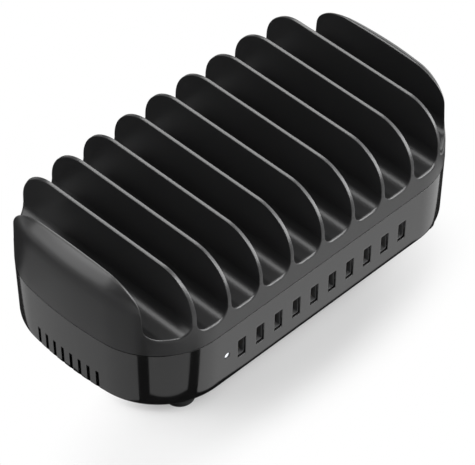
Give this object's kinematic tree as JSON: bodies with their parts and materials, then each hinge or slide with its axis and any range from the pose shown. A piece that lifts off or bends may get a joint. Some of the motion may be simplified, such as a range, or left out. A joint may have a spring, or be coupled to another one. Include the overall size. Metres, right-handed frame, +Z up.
{
  "type": "charging station organizer",
  "caption": "Desktop charging station: a rounded black box with upright dividers for phones above a glossy band with a row of upright charging sockets.",
  "frame": {"origin": "on the table under the middle of the station, level with the soles of its feet", "axes": "+X along the row of sockets, to the right seen from the front; +Y to the rear, where the mains inlet is; +Z up"},
  "size_m": [0.274, 0.1486, 0.0982],
  "materials": {
    "top_black": "matte",
    "band_gloss_black": "gloss",
    "foot_rubber": "matte",
    "screw_steel": "zinc plated",
    "board_green": "satin",
    "contact_gold": "plated",
    "light_white": "translucent",
    "inlet_black": "satin",
    "pin_brass": "plated",
    "rocker_black": "satin",
    "fuse_glass": "clear",
    "film_box_yellow": "satin",
    "winding_copper": "enamelled",
    "can_sleeve": "sleeved",
    "ferrite": "matte",
    "winding_tape": "satin",
    "sink_aluminium": "extruded",
    "lead_insulation": "matte",
    "shell_steel": "plated",
    "tongue_plastic": "matte"
  },
  "bodies": {
    "station": {"base_housing": "band_gloss_black", "board_screws": "screw_steel", "bridge_rectifier": "inlet_black", "bulk_capacitor": "can_sleeve", "filter_capacitor": "film_box_yellow", "foot_front_left": "foot_rubber", "foot_front_right": "foot_rubber", "foot_rear_left": "foot_rubber", "foot_rear_right": "foot_rubber", "fuse": "fuse_glass", "fuse_clips": "pin_brass", "housing_screws": "screw_steel", "inlet_body": "inlet_black", "inlet_pins": "pin_brass", "light_pipe": "light_white", "line_choke": "winding_copper", "mains_leads": "lead_insulation", "output_capacitors": "can_sleeve", "output_heat_sink": "sink_aluminium", "power_board": "board_green", "primary_heat_sink": "sink_aluminium", "status_led": "light_white", "supply_leads": "lead_insulation", "switch_body": "inlet_black", "switch_tabs": "pin_brass", "top_housing": "top_black", "transformer_core": "ferrite", "transformer_winding": "winding_tape", "usb_board": "board_green", "usb_contacts": "contact_gold", "usb_shell_01": "shell_steel", "usb_shell_02": "shell_steel", "usb_shell_03": "shell_steel", "usb_shell_04": "shell_steel", "usb_shell_05": "shell_steel", "usb_shell_06": "shell_steel", "usb_shell_07": "shell_steel", "usb_shell_08": "shell_steel", "usb_shell_09": "shell_steel", "usb_shell_10": "shell_steel", "usb_tongue_01": "tongue_plastic", "usb_tongue_02": "tongue_plastic", "usb_tongue_03": "tongue_plastic", "usb_tongue_04": "tongue_plastic", "usb_tongue_05": "tongue_plastic", "usb_tongue_06": "tongue_plastic", "usb_tongue_07": "tongue_plastic", "usb_tongue_08": "tongue_plastic", "usb_tongue_09": "tongue_plastic", "usb_tongue_10": "tongue_plastic"},
    "rocker": {"rocker": "rocker_black"}
  },
  "joints": [
    {"name": "rocker_tilt", "type": "hinge", "parent": "station", "child": "rocker", "pos_m": [0.022, 0.0691, 0.026], "axis": [1, 0, 0], "range_deg": [-20, 0]}
  ]
}
